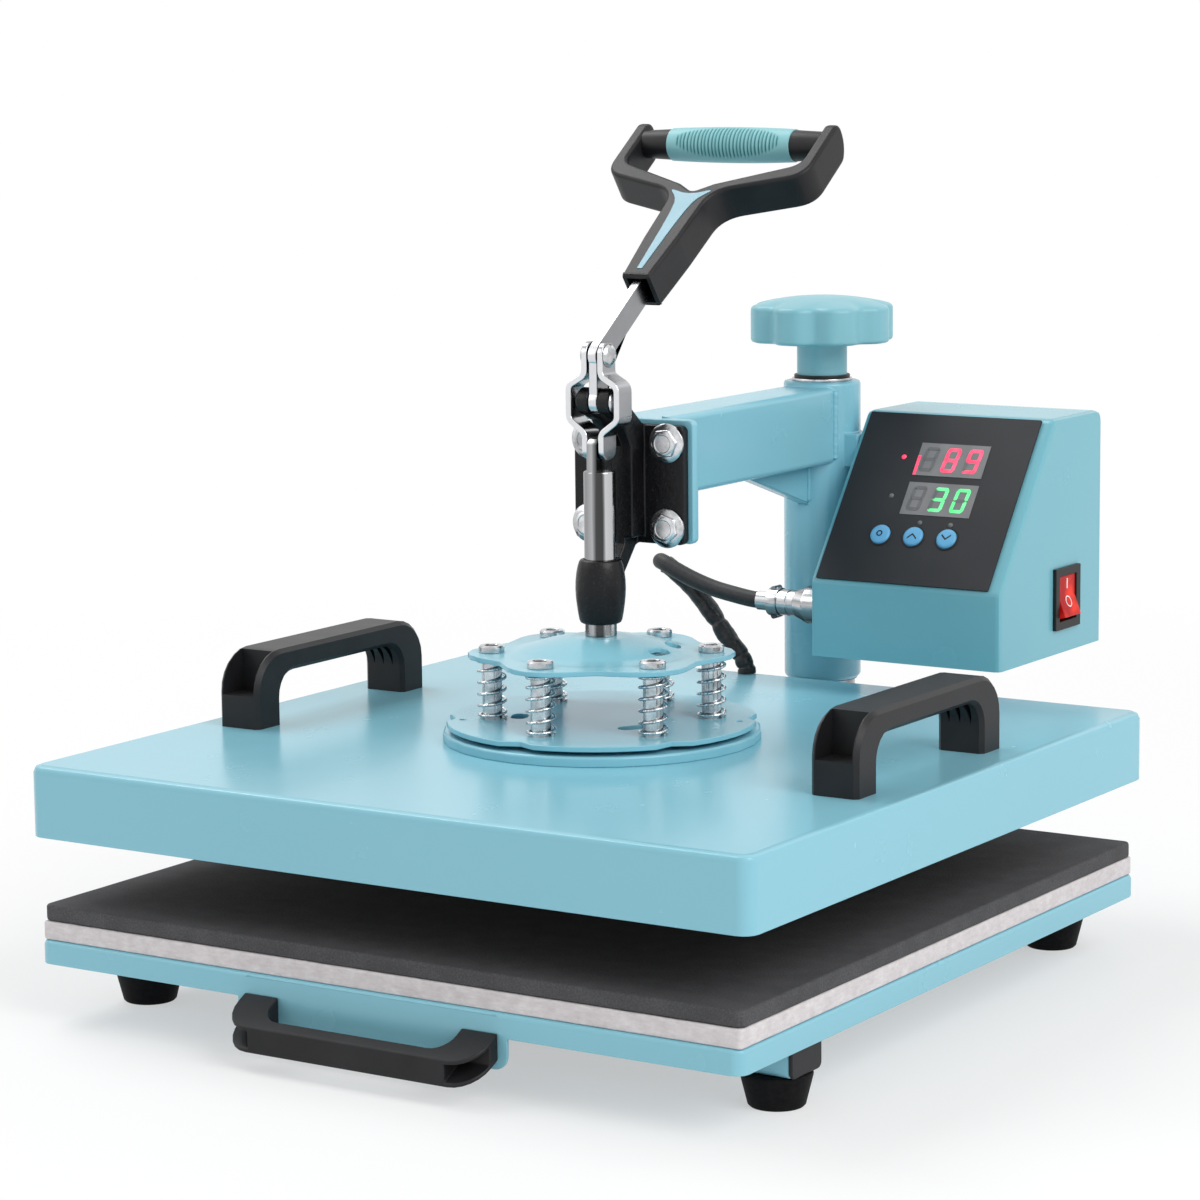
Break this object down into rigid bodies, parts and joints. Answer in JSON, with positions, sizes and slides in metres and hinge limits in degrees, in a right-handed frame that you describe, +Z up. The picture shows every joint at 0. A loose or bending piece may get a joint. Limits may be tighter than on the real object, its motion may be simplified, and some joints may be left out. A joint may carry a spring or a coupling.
{
  "type": "swing-away flat heat press",
  "caption": "Heat press with a padded slide-out bed, swinging arm on a round column, lever toggle clamp, spring-mounted square heater and a control box",
  "frame": {"origin": "centre of the top face of the foam work pad", "axes": "+Z up, +X to the operator right, +Y to the back where the column stands"},
  "size_m": [0.3906, 0.4818, 0.4107],
  "materials": {
    "blue_paint": "smooth semi-gloss",
    "zinc": "bright zinc plate",
    "steel": "satin",
    "aluminium": "cast and machined",
    "black_plastic": "fine grain",
    "rubber": "matt",
    "teal_grip": "satin",
    "sponge": "fine open cell",
    "felt": "fibrous",
    "panel_black": "smooth film",
    "red_lens": "lit lens",
    "blue_button": "smooth",
    "black_paint": "semi-gloss",
    "blue_plastic": "satin",
    "cable_black": "smooth jacket and wrinkled sleeve"
  },
  "bodies": {
    "base": {"base_frame": "blue_paint", "column_post": "zinc", "tube_cap_front_left": "black_plastic", "foot_front_left": "rubber", "tube_cap_front_right": "black_plastic", "foot_front_right": "rubber", "tube_cap_rear_left": "black_plastic", "foot_rear_left": "rubber", "tube_cap_rear_right": "black_plastic", "foot_rear_right": "rubber"},
    "drawer": {"base_tray": "blue_paint", "front_handle": "black_plastic", "felt_underlay": "felt", "foam_pad": "sponge"},
    "lift_collar": {"thrust_washer": "zinc"},
    "knob": {"pressure_knob": "blue_plastic"},
    "arm": {"swing_arm": "blue_paint", "clamp_body": "black_paint", "flange_bolt_1": "zinc", "flange_bolt_2": "zinc", "flange_bolt_3": "zinc", "flange_bolt_4": "zinc", "control_box_shell": "blue_paint", "control_box_floor": "blue_paint", "control_panel": "panel_black", "switch_frame": "black_plastic", "connector_plug": "zinc", "cable": "cable_black", "pivot_pin": "zinc"},
    "rocker": {"rocker_switch": "red_lens"},
    "button_1": {"push_button_1": "blue_button"},
    "button_2": {"push_button_2": "blue_button"},
    "button_3": {"push_button_3": "blue_button"},
    "lever": {"toggle_lever": "zinc", "t_handle": "black_plastic", "grip_sleeve": "teal_grip"},
    "links": {"link_left": "zinc", "link_right": "zinc", "upper_rivet": "zinc"},
    "plunger": {"plunger": "zinc", "plunger_pin": "zinc", "spider_plate": "blue_paint"},
    "platen": {"shoulder_bolt_1": "zinc", "shoulder_bolt_2": "zinc", "shoulder_bolt_3": "zinc", "shoulder_bolt_4": "zinc", "shoulder_bolt_5": "zinc", "shoulder_bolt_6": "zinc", "spring_1": "steel", "spring_2": "steel", "spring_3": "steel", "spring_4": "steel", "spring_5": "steel", "spring_6": "steel", "clamp_plate": "blue_paint", "mounting_disc": "blue_paint", "heater_cover": "blue_paint", "heating_platen": "aluminium", "cover_handle_left": "black_plastic", "cover_handle_right": "black_plastic"}
  },
  "joints": [
    {"name": "drawer_slide", "type": "slide", "parent": "base", "child": "drawer", "axis": [0, -1, 0], "range_m": [0, 0.18]},
    {"name": "arm_lift", "type": "slide", "parent": "base", "child": "lift_collar", "axis": [0, 0, 1], "range_m": [0, 0.006]},
    {"name": "knob_turn", "type": "hinge", "parent": "lift_collar", "child": "knob", "pos_m": [0, 0.214, 0.235], "axis": [0, 0, 1], "range_deg": [0, 720]},
    {"name": "arm_swing", "type": "hinge", "parent": "lift_collar", "child": "arm", "pos_m": [0, 0.214, 0.2], "axis": [0, 0, 1], "continuous": true},
    {"name": "handle_pull", "type": "hinge", "parent": "arm", "child": "lever", "pos_m": [0, 0, 0.2275], "axis": [1, 0, 0], "range_deg": [0, 121.5]},
    {"name": "link_swing", "type": "hinge", "parent": "lever", "child": "links", "pos_m": [0, 0, 0.2493], "axis": [1, 0, 0], "range_deg": [-96.5, 0]},
    {"name": "plunger_slide", "type": "slide", "parent": "arm", "child": "plunger", "axis": [0, 0, -1], "range_m": [0, 0.0291], "deforming": ["cable"]},
    {"name": "platen_float", "type": "slide", "parent": "plunger", "child": "platen", "axis": [0, 0, 1], "range_m": [0, 0.007], "stiffness_N_per_m": 24000, "springref_m": -0.001, "deforming": ["spring_1", "spring_2", "spring_3", "spring_4", "spring_5", "spring_6"]},
    {"name": "rocker_tip", "type": "hinge", "parent": "arm", "child": "rocker", "pos_m": [0.1305, 0.228, 0.1132], "axis": [0, 1, 0], "range_deg": [0, 20]},
    {"name": "button_press_1", "type": "slide", "parent": "arm", "child": "button_1", "axis": [0, 0.8017, -0.5978], "range_m": [0, 0.001], "stiffness_N_per_m": 500, "springref_m": -0.0004},
    {"name": "button_press_2", "type": "slide", "parent": "arm", "child": "button_2", "axis": [0, 0.8017, -0.5978], "range_m": [0, 0.001], "stiffness_N_per_m": 500, "springref_m": -0.0004},
    {"name": "button_press_3", "type": "slide", "parent": "arm", "child": "button_3", "axis": [0, 0.8017, -0.5978], "range_m": [0, 0.001], "stiffness_N_per_m": 500, "springref_m": -0.0004}
  ],
  "couplings": [
    {"joint": "knob_turn", "follows": "arm_lift", "rad_per_m": 2094},
    {"joint": "link_swing", "follows": "handle_pull", "ratio": -0.79012},
    {"joint": "plunger_slide", "follows": "handle_pull", "m_per_rad": 0.013669}
  ]
}
